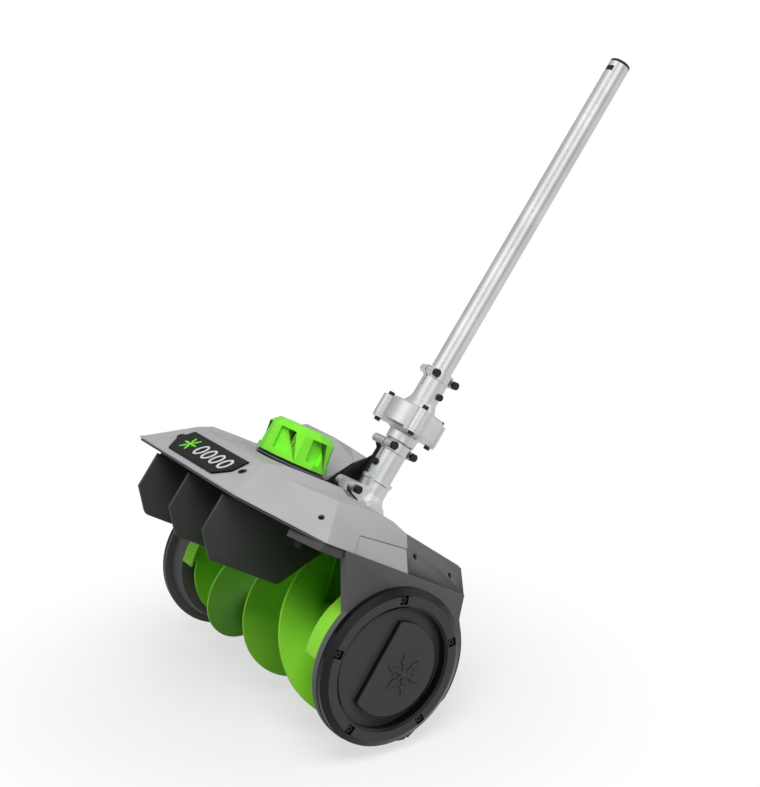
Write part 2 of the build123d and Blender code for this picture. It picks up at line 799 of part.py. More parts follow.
with BuildPart() as auger_bearings:
    for x in (right_wall, left_wall - wall_t):
        with BuildSketch(side(x)):
            Circle(14)
            Circle(shaft_r + running_gap, mode=Mode.SUBTRACT)
        extrude(amount=wall_t)

pulley_x = -170
with BuildPart() as auger_pulley:
    with BuildSketch(side(pulley_x)):
        Circle(pulley_big_r)
        Circle(shaft_r, mode=Mode.SUBTRACT)
    extrude(amount=11)

with BuildPart() as drive_pulley:
    with BuildSketch(side(pulley_x)):
        with Locations((cross_y, cross_z)):
            Circle(pulley_small_r)
            Circle(5, mode=Mode.SUBTRACT)
    extrude(amount=11)

belt_gap = 0.4


def belt_shape(extra):
    """Outline around both pulleys, grown by a distance."""
    big = pulley_big_r + extra
    small = pulley_small_r + extra
    small_centre = (cross_y, cross_z)
    with BuildSketch() as shape:
        with BuildLine():
            first = polar(big, belt_turn + belt_open)
            last = polar(big, belt_turn - belt_open)
            small_first = polar(small, belt_turn + belt_open, small_centre)
            small_last = polar(small, belt_turn - belt_open, small_centre)
            ThreePointArc(first, polar(big, belt_turn + 180), last)
            Line(last, small_last)
            ThreePointArc(small_last, polar(small, belt_turn, small_centre), small_first)
            Line(small_first, first)
        make_face()
    return shape.sketch


with BuildPart() as drive_belt:
    with BuildSketch(side(pulley_x + 1.5)):
        add(belt_shape(3.2))
        add(belt_shape(belt_gap), mode=Mode.SUBTRACT)
    extrude(amount=8)

# ---------------------------------------------------------------- right-angle drive
with BuildPart() as cross_shaft:
    with BuildSketch(side(pulley_x - 1)):
        with Locations((cross_y, cross_z)):
            Circle(5)
    extrude(amount=-pulley_x + 1 - 7)

with BuildPart() as cross_tube:
    with BuildSketch(side(left_wall)):
        with Locations((cross_y, cross_z)):
            Circle(11)
            Circle(8, mode=Mode.SUBTRACT)
    extrude(amount=-left_wall - 22.1)

with BuildPart() as cross_bearings:
    for x in (left_wall - wall_t, -36):
        with BuildSketch(side(x)):
            with Locations((cross_y, cross_z)):
                Circle(12 if x < -100 else 8)
                Circle(5 + running_gap, mode=Mode.SUBTRACT)
        extrude(amount=wall_t)

bevel_gear_r = 12.6
bevel_pinion_r = 6.1
gear_back = -11
gear_shoulder = -6.9
with BuildPart() as bevel_gear:
    with BuildSketch(side(gear_back)):
        with Locations((cross_y, cross_z)):
            Circle(bevel_gear_r)
    extrude(amount=gear_shoulder - gear_back)
    with BuildSketch(side(gear_shoulder)):
        with Locations((cross_y, cross_z)):
            Circle(bevel_gear_r)
    extrude(amount=3, taper=63.4)
    with BuildSketch(side(gear_back)):
        with Locations((cross_y, cross_z)):
            Circle(5)
    extrude(amount=4, mode=Mode.SUBTRACT)
    with BuildSketch(side(gear_shoulder + 3.2)):
        with Locations((cross_y, cross_z)):
            with PolarLocations(9.6, 24):
                Rectangle(7, 0.9)
    extrude(amount=-3.2, mode=Mode.SUBTRACT)

with BuildPart() as bevel_pinion:
    with BuildSketch(on_shaft(bevel_s + 6.5)):
        Circle(2.85)
    extrude(amount=6.5, taper=-26.565)
    with BuildSketch(on_shaft(bevel_s + 13)):
        Circle(bevel_pinion_r)
    extrude(amount=10)

neck_r = 15.5
ball_r = 22
clamp_lug_o = 16.5
lug_s = 142
lug_o = 30
case_profile = [
    (0, bevel_s), (ball_r, bevel_s), (ball_r, bevel_s + 12), (17.5, 146), (17.5, 160), (19, 161), (19, 165),
    (neck_r, 166), (neck_r, 200), (17.4, 200.5), (17.4, 212), (0, 212),
]
case_cavity = [
    (0, bevel_s - 1), (17.6, bevel_s - 1), (17.6, bevel_s + 9), (9, bevel_s + 19), (9, 170), (tube_r, 170),
    (tube_r, 214), (0, 214),
]


def beside_shaft(s, o):
    """World (y, z) of a point at a distance along the tube and in front of its axis."""
    point = shaft_foot + shaft_dir * s + shaft_front * o
    return point.Y, point.Z


def barrel(s, o, start, end, radius):
    """Solid rod along X beside the tube: bolt bosses and bolts of the clamps."""
    with BuildPart() as rod:
        with BuildSketch(side(start)):
            with Locations(beside_shaft(s, o)):
                Circle(radius)
        extrude(amount=end - start)
    return rod.part


with BuildPart() as gear_head_case:
    with Locations(bevel_centre):
        Sphere(ball_r)
    with BuildSketch(shaft_half):
        Polygon(*case_profile, align=None)
    revolve(axis=shaft_axis)
    add(barrel(206.5, clamp_lug_o, -23, 13, 4.9))
    add(barrel(206.5, -clamp_lug_o, -12, 13, 4.9))
    with BuildSketch(side(0)):
        with Locations((cross_y, cross_z)):
            Circle(17)
    extrude(amount=23)
    with BuildSketch(side(-21.5)):
        with Locations((cross_y, cross_z)):
            Circle(13.5)
    extrude(amount=15)
    for x, thick in ((-21.4, 8), (4, 10)):
        with BuildSketch(side(x)):
            with Locations(beside_shaft(lug_s, lug_o)):
                Circle(7.5)
            Polygon(
                beside_shaft(lug_s - 14, 8),
                beside_shaft(lug_s + 10, 8),
                beside_shaft(lug_s + 7, lug_o),
                beside_shaft(lug_s - 7, lug_o + 1),
                align=None,
            )
        extrude(amount=thick)
    with BuildSketch(shaft_half):
        Polygon(*case_cavity, align=None)
    revolve(axis=shaft_axis, mode=Mode.SUBTRACT)
    with Locations(bevel_centre):
        Sphere(18, mode=Mode.SUBTRACT)
    with BuildSketch(side(-40)):
        with Locations((cross_y, cross_z)):
            Circle(9)
    extrude(amount=30, mode=Mode.SUBTRACT)
    with BuildSketch(side(10)):
        with Locations((cross_y, cross_z)):
            Circle(13)
    extrude(amount=20, mode=Mode.SUBTRACT)
    with BuildSketch(on_shaft(176)):
        Rectangle(1.8, 40, align=(Align.CENTER, Align.MAX))
    extrude(amount=40, mode=Mode.SUBTRACT)

with BuildPart() as gear_head_cap:
    with BuildSketch(side(23)):
        with Locations((cross_y, cross_z)):
            Circle(16.2)
    extrude(amount=2.4)
    fillet(gear_head_cap.faces().sort_by(Axis.X)[-1].edges(), 1.2)

with BuildPart() as gear_head_bolts:
    add(barrel(lug_s, lug_o, 14, 19, 4.7))
    add(barrel(lug_s, lug_o, -26.4, -21.4, 4.7))

# ---------------------------------------------------------------- reduction gearbox
lobe_r = 39.2
lobe_angles = [-30, -150, 90]
gear_low = 213
split_s = 231
body_top = 258
clamp_top = 309
upper_case_profile = [
    (0, split_s), (34, split_s), (34, body_top - 2), (32, body_top), (21, body_top + 1.5), (16.5, body_top + 10),
    (neck_r, 272), (neck_r, 297), (17.4, 297.5), (17.4, clamp_top), (0, clamp_top),
]
upper_case_cavity = [
    (0, split_s - 1), (28, split_s - 1), (28, 252), (9, 255), (9, 280), (tube_r, 280), (tube_r, 311), (0, 311),
]
lower_case_profile = [
    (0, 174), (tube_r, 174), (tube_r, gear_low), (16.5, gear_low), (18, gear_low + 1.5), (18, 224),
    (22, 226.5), (31, 228.5), (33, split_s), (0, split_s),
]
lower_case_cavity = [(0, 173), (6.2, 173), (6.2, 226), (26, 229), (26, 232), (0, 232)]


def lobes(radius, angle_list=lobe_angles):
    with BuildSketch() as outline:
        for angle in angle_list:
            with Locations(polar(lobe_r, angle)):
                Circle(radius)
            with Locations((0, 0)):
                lobe = [(0, 0), polar(lobe_r, angle - 16), polar(lobe_r + 2, angle), polar(lobe_r, angle + 16)]
                Polygon(*lobe, align=None)
    return outline.sketch


with BuildPart() as gearbox_upper_case:
    with BuildSketch(shaft_half):
        Polygon(*upper_case_profile, align=None)
    revolve(axis=shaft_axis)
    with BuildSketch(on_shaft(split_s)):
        add(lobes(8))
    extrude(amount=body_top - split_s - 1)
    add(barrel(303, clamp_lug_o, -11, 13, 4.9))
    add(barrel(303, -clamp_lug_o, -11, 13, 4.9))
    with BuildSketch(shaft_half):
        Polygon(*upper_case_cavity, align=None)
    revolve(axis=shaft_axis, mode=Mode.SUBTRACT)
    with BuildSketch(on_shaft(284)):
        Rectangle(1.8, 40, align=(Align.CENTER, Align.MAX))
    extrude(amount=40, mode=Mode.SUBTRACT)

with BuildPart() as gearbox_lower_case:
    with BuildSketch(shaft_half):
        Polygon(*lower_case_profile, align=None)
    revolve(axis=shaft_axis)
    with BuildSketch(on_shaft(split_s - 3)):
        add(lobes(7.4))
    extrude(amount=3)
    with BuildSketch(shaft_half):
        Polygon(*lower_case_cavity, align=None)
    revolve(axis=shaft_axis, mode=Mode.SUBTRACT)

with BuildPart() as gearbox_screws:
    for angle in lobe_angles:
        with BuildSketch(on_shaft(body_top - 1)):
            with Locations(polar(lobe_r, angle)):
                Circle(3.7)
        extrude(amount=5)
        with BuildSketch(on_shaft(split_s - 3)):
            with Locations(polar(lobe_r, angle)):
                RegularPolygon(3.7, 6)
        extrude(amount=-3.6)

with BuildPart() as clamp_bolts:
    for s, x_end in ((206.5, 13), (303, 13)):
        for o in (clamp_lug_o, -clamp_lug_o):
            add(barrel(s, o, x_end, x_end + 5, 4.6))

with BuildPart() as set_screws:
    add(barrel(281, -4.6, neck_r, neck_r + 3.2, 4))
    with BuildSketch(Plane(origin=shaft_foot + shaft_dir * 181 + shaft_front * neck_r, z_dir=shaft_front)):
        Circle(4)
    extrude(amount=3.4)

# ---------------------------------------------------------------- gears inside the gearbox
ring_root = 27.9
planet_count = 3
sun_teeth = 12
planet_teeth = 18
ring_teeth = 48
module = 1.0
sun_pitch = sun_teeth * module / 2
planet_pitch = planet_teeth * module / 2
ring_pitch = ring_teeth * module / 2
planet_orbit = sun_pitch + planet_pitch
gear_s = 238
gear_width = 10
tooth = 0.55


def spur(centre, pitch, teeth, bore):
    """Short-toothed spur gear that clears its mate by a fraction of a tooth at every angle."""
    with BuildSketch() as outline:
        with Locations(centre):
            Circle(pitch - tooth)
            with PolarLocations(pitch - tooth, teeth):
                Rectangle(tooth * 1.6, 0.8)
            Circle(bore, mode=Mode.SUBTRACT)
    return outline.sketch


with BuildPart() as ring_gear:
    with BuildSketch(on_shaft(gear_s)):
        Circle(ring_root)
        Circle(ring_pitch + tooth, mode=Mode.SUBTRACT)
        with PolarLocations(ring_pitch + tooth, ring_teeth):
            Rectangle(0.8, 0.8)
    extrude(amount=gear_width)

with BuildPart() as sun_gear:
    with BuildSketch(on_shaft(gear_s)):
        add(spur((0, 0), sun_pitch, sun_teeth, 3.5))
    extrude(amount=gear_width)

planet_gears = []
for index in range(planet_count):
    centre = polar(planet_orbit, 90 + 120 * index)
    with BuildPart() as planet_gear:
        with BuildSketch(on_shaft(gear_s)):
            add(spur(centre, planet_pitch, planet_teeth, 3 + running_gap))
        extrude(amount=gear_width)
    planet_gears.append(planet_gear)

with BuildPart() as planet_carrier:
    with BuildSketch(on_shaft(gear_s - 4.5)):
        Circle(22)
    extrude(amount=3.5)
    for index in range(planet_count):
        with BuildSketch(on_shaft(gear_s - 1)):
            with Locations(polar(planet_orbit, 90 + 120 * index)):
                Circle(3)
        extrude(amount=gear_width + 1)
    with BuildSketch(on_shaft(bevel_s + 23)):
        Circle(5)
    extrude(amount=gear_s - 4.5 - bevel_s - 23)

with BuildPart() as drive_shaft:
    with BuildSketch(on_shaft(gear_s)):
        Circle(3.5)
    extrude(amount=tube_end - 20 - gear_s)

with BuildPart() as drive_bearings:
    with BuildSketch(on_shaft(256)):
        Circle(9)
        Circle(3.5 + running_gap, mode=Mode.SUBTRACT)
    extrude(amount=8)
    with BuildSketch(on_shaft(212)):
        Circle(6.2)
        Circle(5 + running_gap, mode=Mode.SUBTRACT)
    extrude(amount=12)

with BuildPart() as shaft_bushings:
    for s in (330, 470, 610, 700):
        with BuildSketch(on_shaft(s)):
            Circle(tube_bore)
            Circle(3.5 + running_gap, mode=Mode.SUBTRACT)
        extrude(amount=8)

# ---------------------------------------------------------------- long tube
button_plane = Plane(origin=shaft_foot + shaft_dir * 725, x_dir=(1, 0, 0), z_dir=shaft_front)
with BuildPart() as shaft_tube:
    with BuildSketch(on_shaft(tube_start)):
        Circle(tube_r)
        Circle(tube_bore, mode=Mode.SUBTRACT)
    extrude(amount=tube_end - tube_start)
    with BuildSketch(on_shaft(insert_mark)):
        Circle(tube_r + 1)
        Circle(tube_r - 0.3, mode=Mode.SUBTRACT)
    extrude(amount=1.2, mode=Mode.SUBTRACT)
    with BuildSketch(button_plane):
        Rectangle(12, 6.5)
    extrude(amount=tube_r + 1, mode=Mode.SUBTRACT)

with BuildPart() as tube_button:
    with BuildSketch(button_plane.offset(8.5)):
        Rectangle(11.6, 6.1)
    extrude(amount=2.6)

with BuildPart() as end_cap:
    with BuildSketch(on_shaft(tube_end)):
        Circle(tube_r)
    extrude(amount=3.6)
    with BuildSketch(on_shaft(tube_end - 5)):
        Circle(tube_bore - 0.1)
        Circle(tube_bore - 2.4, mode=Mode.SUBTRACT)
    extrude(amount=5)
    fillet(end_cap.faces().sort_by(shaft_axis)[-1].edges(), 1.5)

# ---------------------------------------------------------------- cable bracket beside the head
with BuildPart() as support_bracket:
    with BuildSketch(long_section(-25.8)):
        Polygon(
            (15, 208.6), (23.7, 198.7), (22.4, 188.5), (13.6, 178.9), (3.7, 171.4), (-6.4, 157.5), (-6.4, 148),
            (16, 148), (23.6, 161.2), (27, 170), (31, 184), (29, 203.5), (18.6, 213.1), align=None,
        )
    extrude(amount=2.8)
    with BuildSketch(side(-25.8)):
        with Locations(beside_shaft(lug_s, lug_o)):
            Circle(4.9)
    extrude(amount=2.8, mode=Mode.SUBTRACT)
    with BuildSketch(deck(148)):
        with Locations((-25.8, 0)):
            Rectangle(40, 14, align=(Align.MAX, Align.MIN))
    extrude(amount=4)
    with BuildSketch(deck(139)):
        with Locations((-57, 3)):
            Rectangle(10, 8, align=(Align.MAX, Align.MIN))
    extrude(amount=9)

parts_list = {
    "right_side_frame": right_side_frame,
    "left_side_frame": left_side_frame,
    "right_side_plate": right_side_plate,
    "left_side_plate": left_side_plate,
    "right_end_cover": right_end_cover,
    "left_end_cover": left_end_cover,
    "end_cover_screws": end_cover_screws,
    "main_housing": main_housing,
    "scraper_blade": scraper_blade,
    "scraper_screws": scraper_screws,
    "hood": hood,
    "badge_plate": badge_plate,
    "badge_emblem": badge_emblem,
    "badge_mark": badge_mark,
    "hood_screws": hood_screws,
    "front_liner": front_liner,
    "rear_housing": rear_housing,
    "drive_cowl": drive_cowl,
    "knob": knob,
    "knob_skirt": knob_skirt,
    "knob_collar": knob_collar,
    "left_vane": left_vane,
    "centre_vane": centre_vane,
    "right_vane": right_vane,
    "left_spindle": left_spindle,
    "centre_spindle": centre_spindle,
    "right_spindle": right_spindle,
    "link_bar": link_bar,
    "auger_shaft": auger_shaft,
    "auger": auger,
    "auger_bearings": auger_bearings,
    "auger_pulley": auger_pulley,
    "drive_pulley": drive_pulley,
    "drive_belt": drive_belt,
    "cross_shaft": cross_shaft,
    "cross_tube": cross_tube,
    "cross_bearings": cross_bearings,
    "bevel_gear": bevel_gear,
    "bevel_pinion": bevel_pinion,
    "gear_head_case": gear_head_case,
    "gear_head_cap": gear_head_cap,
    "gear_head_bolts": gear_head_bolts,
    "gearbox_upper_case": gearbox_upper_case,
    "gearbox_lower_case": gearbox_lower_case,
    "gearbox_screws": gearbox_screws,
    "clamp_bolts": clamp_bolts,
    "set_screws": set_screws,
    "ring_gear": ring_gear,
    "sun_gear": sun_gear,
    "planet_gear_1": planet_gears[0],
    "planet_gear_2": planet_gears[1],
    "planet_gear_3": planet_gears[2],
    "planet_carrier": planet_carrier,
    "drive_shaft": drive_shaft,
    "drive_bearings": drive_bearings,
    "shaft_bushings": shaft_bushings,
    "shaft_tube": shaft_tube,
    "tube_button": tube_button,
    "end_cap": end_cap,
    "support_bracket": support_bracket,
}
for label, builder in parts_list.items():
    save(builder, label)
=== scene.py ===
"""Looks of the snow shovel attachment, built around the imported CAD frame. Metres."""

import math

import bpy
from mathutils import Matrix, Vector


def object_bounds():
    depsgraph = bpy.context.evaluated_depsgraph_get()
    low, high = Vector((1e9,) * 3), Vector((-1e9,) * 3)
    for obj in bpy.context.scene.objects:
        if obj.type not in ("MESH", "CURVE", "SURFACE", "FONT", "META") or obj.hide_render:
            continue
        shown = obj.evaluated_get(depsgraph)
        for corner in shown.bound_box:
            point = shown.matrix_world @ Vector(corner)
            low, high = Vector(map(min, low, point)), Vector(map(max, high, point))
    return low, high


MM = 0.001
# Sockets of Blender's Mix node, which share their names between its colour and number modes.
MIX_FACTOR, MIX_LOW_VALUE, MIX_HIGH_VALUE, MIX_LOW_COLOR, MIX_HIGH_COLOR = 0, 2, 3, 6, 7
MIX_VALUE_OUT, MIX_COLOR_OUT = 0, 2
SHINE = 0.35                    # specular level of the plastics
WALL_SHINE = 0.3                # on the end covers' walls, whose near-black colour is painted shade
WALL_ROUGHNESS = 0.16
FACE_NORMAL_X = 0.985           # cover faces steeper than this count as square to the auger

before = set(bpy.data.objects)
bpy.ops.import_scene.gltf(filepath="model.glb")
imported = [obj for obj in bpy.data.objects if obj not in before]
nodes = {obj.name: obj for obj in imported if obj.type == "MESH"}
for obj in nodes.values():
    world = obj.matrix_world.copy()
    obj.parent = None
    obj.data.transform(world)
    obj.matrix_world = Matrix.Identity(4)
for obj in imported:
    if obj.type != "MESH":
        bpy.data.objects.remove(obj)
cad_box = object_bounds()

# ---------------------------------------------------------------- node helpers


class Graph:
    """Small wrapper that adds and links shader nodes."""

    def __init__(self, name):
        self.material = bpy.data.materials.new(name)
        self.material.use_nodes = True
        self.tree = self.material.node_tree
        self.tree.nodes.clear()
        self.out = self.add("ShaderNodeOutputMaterial")
        self.shader = self.add("ShaderNodeBsdfPrincipled")
        self.link(self.shader, "BSDF", self.out, "Surface")
        self.place = self.add("ShaderNodeTexCoord")

    def add(self, kind, **settings):
        node = self.tree.nodes.new(kind)
        for key, value in settings.items():
            if key in node.inputs:
                node.inputs[key].default_value = value
            else:
                setattr(node, key, value)
        return node

    def link(self, source, output, target, socket):
        self.tree.links.new(source.outputs[output], target.inputs[socket])

    def noise(self, scale, detail=3.0, stretch=None, turn=(0, 0, 0)):
        """Noise in the object's own space; scale is in cycles per metre."""
        noise = self.add("ShaderNodeTexNoise", Scale=scale, Detail=detail)
        if stretch:
            mapping = self.add("ShaderNodeMapping", Rotation=turn, Scale=stretch)
            self.link(self.place, "Object", mapping, "Vector")
            self.link(mapping, "Vector", noise, "Vector")
        else:
            self.link(self.place, "Object", noise, "Vector")
        return noise

    def ramp(self, source, output, low, high, start=0.35, end=0.65):
        """Blends two colours over a stretch of a value."""
        ramp = self.add("ShaderNodeValToRGB")
        ramp.color_ramp.elements[0].position = start
        ramp.color_ramp.elements[0].color = (*low, 1)
        ramp.color_ramp.elements[1].position = end
        ramp.color_ramp.elements[1].color = (*high, 1)
        self.link(source, output, ramp, "Fac")
        return ramp

    def spread(self, source, output, low, high):
        """Maps a 0 to 1 value to a range."""
        node = self.add("ShaderNodeMapRange")
        node.inputs["To Min"].default_value = low
        node.inputs["To Max"].default_value = high
        self.link(source, output, node, "Value")
        return node

    def edge_mask(self, radius):
        """1 on edges that a small bevel would round, 0 on open faces."""
        bevel = self.add("ShaderNodeBevel", samples=4, Radius=radius)
        flat = self.add("ShaderNodeNewGeometry")
        dot = self.add("ShaderNodeVectorMath", operation="DOT_PRODUCT")
        self.link(bevel, "Normal", dot, 0)
        self.link(flat, "Normal", dot, 1)
        mask = self.add("ShaderNodeMapRange", clamp=True)
        mask.inputs["From Min"].default_value = 0.995
        mask.inputs["From Max"].default_value = 0.85
        self.link(dot, "Value", mask, "Value")
        return bevel, mask


def shade(color, factor):
    return tuple(min(1.0, c * factor) for c in color)


def skin(g, tint, edge_color, edge_reach, grain, rough_range, depth, grain_height):
    """Wires colour with lighter edges as a painted highlight, roughness and grain into the graph's
    shader.
    """
    bevel, mask = g.edge_mask(edge_reach)
    # Where the edge mask is 1 the colour turns to the lighter edge colour: a painted highlight on rounded
    # edges.
    mix = g.add("ShaderNodeMix", data_type="RGBA")
    mix.inputs[MIX_HIGH_COLOR].default_value = (*edge_color, 1)
    g.link(mask, "Result", mix, MIX_FACTOR)
    g.link(tint, "Color", mix, MIX_LOW_COLOR)
    g.link(mix, MIX_COLOR_OUT, g.shader, "Base Color")
    g.link(g.spread(grain, "Fac", *rough_range), "Result", g.shader, "Roughness")
    bump = g.add("ShaderNodeBump", Strength=depth, Distance=grain_height)
    g.link(grain, "Fac", bump, "Height")
    g.link(bevel, "Normal", bump, "Normal")
    g.link(bump, "Normal", g.shader, "Normal")


def moulded_graph(name, color, roughness, grain=1500, depth=0.35, variation=0.08, edge=1.25, shine=SHINE):
    """Injection-moulded plastic: fine spark-eroded grain, faint flow marks, and edges painted lighter as
    a highlight.
    """
    g = Graph(name)
    flow = g.noise(14, 4)
    tint = g.ramp(flow, "Fac", shade(color, 1 - variation), shade(color, 1 + variation))
    speck = g.noise(grain, 2)
    rough_range = (roughness - 0.06, roughness + 0.08)
    # Edge colour is the base colour times the edge factor: a painted highlight on the rounded edges.
    skin(g, tint, shade(color, edge), 0.7 * MM, speck, rough_range, depth, 0.06 * MM)
    g.shader.inputs["Specular IOR Level"].default_value = shine
    return g


def moulded(*args, **settings):
    return moulded_graph(*args, **settings).material


def cover_with_shaded_walls(name, face_color, shaded_wall_color):
    """Moulded cover: grained faces square to the auger; polished bevels and walls between, coloured
    near-black as painted shade.
    """
    g = moulded_graph(name, face_color, 0.45, variation=0.03, edge=1.0)
    geometry = g.add("ShaderNodeNewGeometry")
    split = g.add("ShaderNodeSeparateXYZ")
    size = g.add("ShaderNodeMath", operation="ABSOLUTE")
    is_face = g.add("ShaderNodeMath", operation="GREATER_THAN")
    is_face.inputs[1].default_value = FACE_NORMAL_X
    g.link(geometry, "True Normal", split, 0)
    g.link(split, "X", size, 0)
    g.link(size, 0, is_face, 0)
    # Walls (normal not along X) get a near-black colour as painted shade, and a low roughness for their
    # real polish.
    for socket, kind, wall, low, high, result in (
        ("Base Color", "RGBA", (*shaded_wall_color, 1), MIX_LOW_COLOR, MIX_HIGH_COLOR, MIX_COLOR_OUT),
        ("Roughness", "FLOAT", WALL_ROUGHNESS, MIX_LOW_VALUE, MIX_HIGH_VALUE, MIX_VALUE_OUT),
    ):
        source = g.shader.inputs[socket].links[0].from_socket
        pick = g.add("ShaderNodeMix", data_type=kind)
        pick.inputs[low].default_value = wall
        g.tree.links.new(source, pick.inputs[high])
        g.link(is_face, 0, pick, MIX_FACTOR)
        g.link(pick, result, g.shader, socket)
    g.link(g.spread(is_face, 0, WALL_SHINE, SHINE), "Result", g.shader, "Specular IOR Level")
    return g.material


def metal(name, color, roughness, grain, depth=0.25, stretch=None, turn=(0, 0, 0), gleam=1.0):
    """Cast or drawn metal: stretched grain for drawn stock, round grain for castings, edges painted
    lighter as a highlight.
    """
    g = Graph(name)
    g.shader.inputs["Metallic"].default_value = gleam
    tint = g.ramp(g.noise(22, 4), "Fac", shade(color, 0.9), shade(color, 1.04))
    texture = g.noise(grain, 5, stretch, turn)
    rough_range = (roughness - 0.08, roughness + 0.14)
    # Edges are coloured 12% lighter than the metal: a painted highlight.
    skin(g, tint, shade(color, 1.12), 0.6 * MM, texture, rough_range, depth, 0.12 * MM)
    return g.material


# ---------------------------------------------------------------- materials

LIGHT_GREY = (0.50, 0.50, 0.51)
CHARCOAL = (0.14, 0.138, 0.143)
COVER_GREY = (0.07, 0.068, 0.071)
NEAR_BLACK = (0.10, 0.10, 0.102)
VANE_BLACK = (0.06, 0.061, 0.062)
KNOB_GREEN = (0.25, 0.95, 0.045)
AUGER_GREEN = (0.34, 0.90, 0.055)
ALUMINIUM = (0.86, 0.86, 0.87)
STEEL = (0.52, 0.52, 0.54)
BLACK_OXIDE = (0.012, 0.012, 0.013)
SHAFT_LEAN = math.radians(52.7)

# The edge factor in these calls sets how much lighter each part's edges are painted, as a highlight.
light_shell = moulded("light_shell", LIGHT_GREY, 0.45, edge=1.12, variation=0.03)
dark_shell = moulded("dark_shell", CHARCOAL, 0.5, variation=0.03)
# The near-black last colour is the painted shade of the covers' bevels and walls.
gloss_cover = cover_with_shaded_walls("gloss_cover", COVER_GREY, (0.006, 0.006, 0.0065))
liner_black = moulded("liner_black", NEAR_BLACK, 0.5, edge=1.8)
vane_black = moulded("vane_black", VANE_BLACK, 0.48, edge=3.0, variation=0.03)
knob_green = moulded("knob_green", KNOB_GREEN, 0.38, edge=1.05)
auger_green = moulded("auger_green", AUGER_GREEN, 0.5, edge=1.15, variation=0.04)
badge_black = moulded("badge_black", (0.008, 0.008, 0.009), 0.3, depth=0.05, shine=0.1)
badge_green = moulded("badge_green", KNOB_GREEN, 0.3, depth=0.05)
badge_white = moulded("badge_white", (0.8, 0.8, 0.8), 0.3, depth=0.05)
black_plastic = moulded("black_plastic", BLACK_OXIDE, 0.4)
belt_rubber = moulded("belt_rubber", (0.015, 0.015, 0.015), 0.7, grain=700, depth=0.6)
black_bolt = metal("black_bolt", (0.05, 0.05, 0.052), 0.38, grain=1400)
machined = metal("machined", STEEL, 0.3, grain=500)
cast_alloy = metal("cast_alloy", ALUMINIUM, 0.30, grain=900, depth=0.2, gleam=0.85)
tube_alloy = metal(
    "tube_alloy", ALUMINIUM, 0.22, grain=30, depth=0.02,
    stretch=(40, 1.0, 40), turn=(-SHAFT_LEAN, 0, 0), gleam=0.85,
)

finish_of = {
    light_shell: ["hood", "drive_cowl"],
    dark_shell: [
        "right_side_frame", "left_side_frame", "right_side_plate", "left_side_plate",
        "main_housing", "rear_housing", "knob_collar", "scraper_blade",
    ],
    gloss_cover: ["right_end_cover", "left_end_cover"],
    liner_black: ["front_liner", "left_spindle", "centre_spindle", "right_spindle", "link_bar"],
    vane_black: ["left_vane", "centre_vane", "right_vane"],
    knob_green: ["knob"],
    auger_green: ["auger"],
    badge_black: ["badge_plate"],
    badge_green: ["badge_emblem"],
    badge_white: ["badge_mark"],
    black_plastic: [
        "knob_skirt", "tube_button", "end_cap", "auger_pulley", "drive_pulley", "shaft_bushings",
    ],
    belt_rubber: ["drive_belt"],
    black_bolt: [
        "end_cover_screws", "hood_screws", "gear_head_bolts", "gearbox_screws", "clamp_bolts",
        "set_screws", "support_bracket", "scraper_screws",
    ],
    machined: [
        "auger_shaft", "cross_shaft", "bevel_gear", "bevel_pinion", "ring_gear", "sun_gear",
        "planet_gear_1", "planet_gear_2", "planet_gear_3", "planet_carrier", "drive_shaft",
        "auger_bearings", "cross_bearings", "drive_bearings",
    ],
    cast_alloy: [
        "gear_head_case", "gear_head_cap", "gearbox_upper_case", "gearbox_lower_case", "cross_tube",
    ],
    tube_alloy: ["shaft_tube"],
}
for material, names in finish_of.items():
    for name in names:
        mesh = nodes[name].data
        mesh.materials.clear()
        mesh.materials.append(material)

# ---------------------------------------------------------------- surface finish of the CAD nodes

# Width of the rounded edge, in millimetres, on the parts that show one.
edge_round = {
    "hood": 2.2, "drive_cowl": 3.0, "rear_housing": 1.6, "front_liner": 0.8,
    "right_side_plate": 0.6, "left_side_plate": 0.6, "knob": 1.4,
    "left_vane": 0.7, "centre_vane": 0.7, "right_vane": 0.7, "scraper_blade": 0.8,
    "support_bracket": 0.7,
}


def round_edges(obj, width):
    """Joins the split corners, clears flat triangles and rounds the real edges."""
    weld = obj.modifiers.new("weld", "WELD")
    weld.merge_threshold = 0.01 * MM
    flat = obj.modifiers.new("flat", "DECIMATE")
    flat.decimate_type = "DISSOLVE"
    flat.angle_limit = math.radians(1.0)
    bevel = obj.modifiers.new("bevel", "BEVEL")
    bevel.width = width * MM
    bevel.segments = 3
    bevel.limit_method = "ANGLE"
    bevel.angle_limit = math.radians(20)
    bevel.use_clamp_overlap = True
    bevel.harden_normals = True


for name, obj in nodes.items():
    obj.data.polygons.foreach_set("use_smooth", [True] * len(obj.data.polygons))
    obj.data.set_sharp_from_angle(angle=math.radians(32))
    if name in edge_round:
        round_edges(obj, edge_round[name])

# ---------------------------------------------------------------- stage, light and camera

VIEW_AZIMUTH = math.radians(56.33)
VIEW_RISE = math.radians(16.09)
VIEW_DISTANCE = 1.357
TARGET = Vector((0.1611, 0.0, 0.2892))
LENS = 63.03


def toward(azimuth, rise):
    return Vector(
        (math.sin(azimuth) * math.cos(rise), -math.cos(azimuth) * math.cos(rise), math.sin(rise))
    )


def look(obj, at):
    obj.rotation_euler = (at - obj.location).to_track_quat("-Z", "Y").to_euler()


camera_data = bpy.data.cameras.new("camera")
camera_data.lens = LENS
camera_data.sensor_width = 36
camera_data.clip_end = 50
camera = bpy.data.objects.new("camera", camera_data)
camera.location = TARGET + toward(VIEW_AZIMUTH, VIEW_RISE) * VIEW_DISTANCE
look(camera, TARGET)
bpy.context.scene.collection.objects.link(camera)
bpy.context.scene.camera = camera


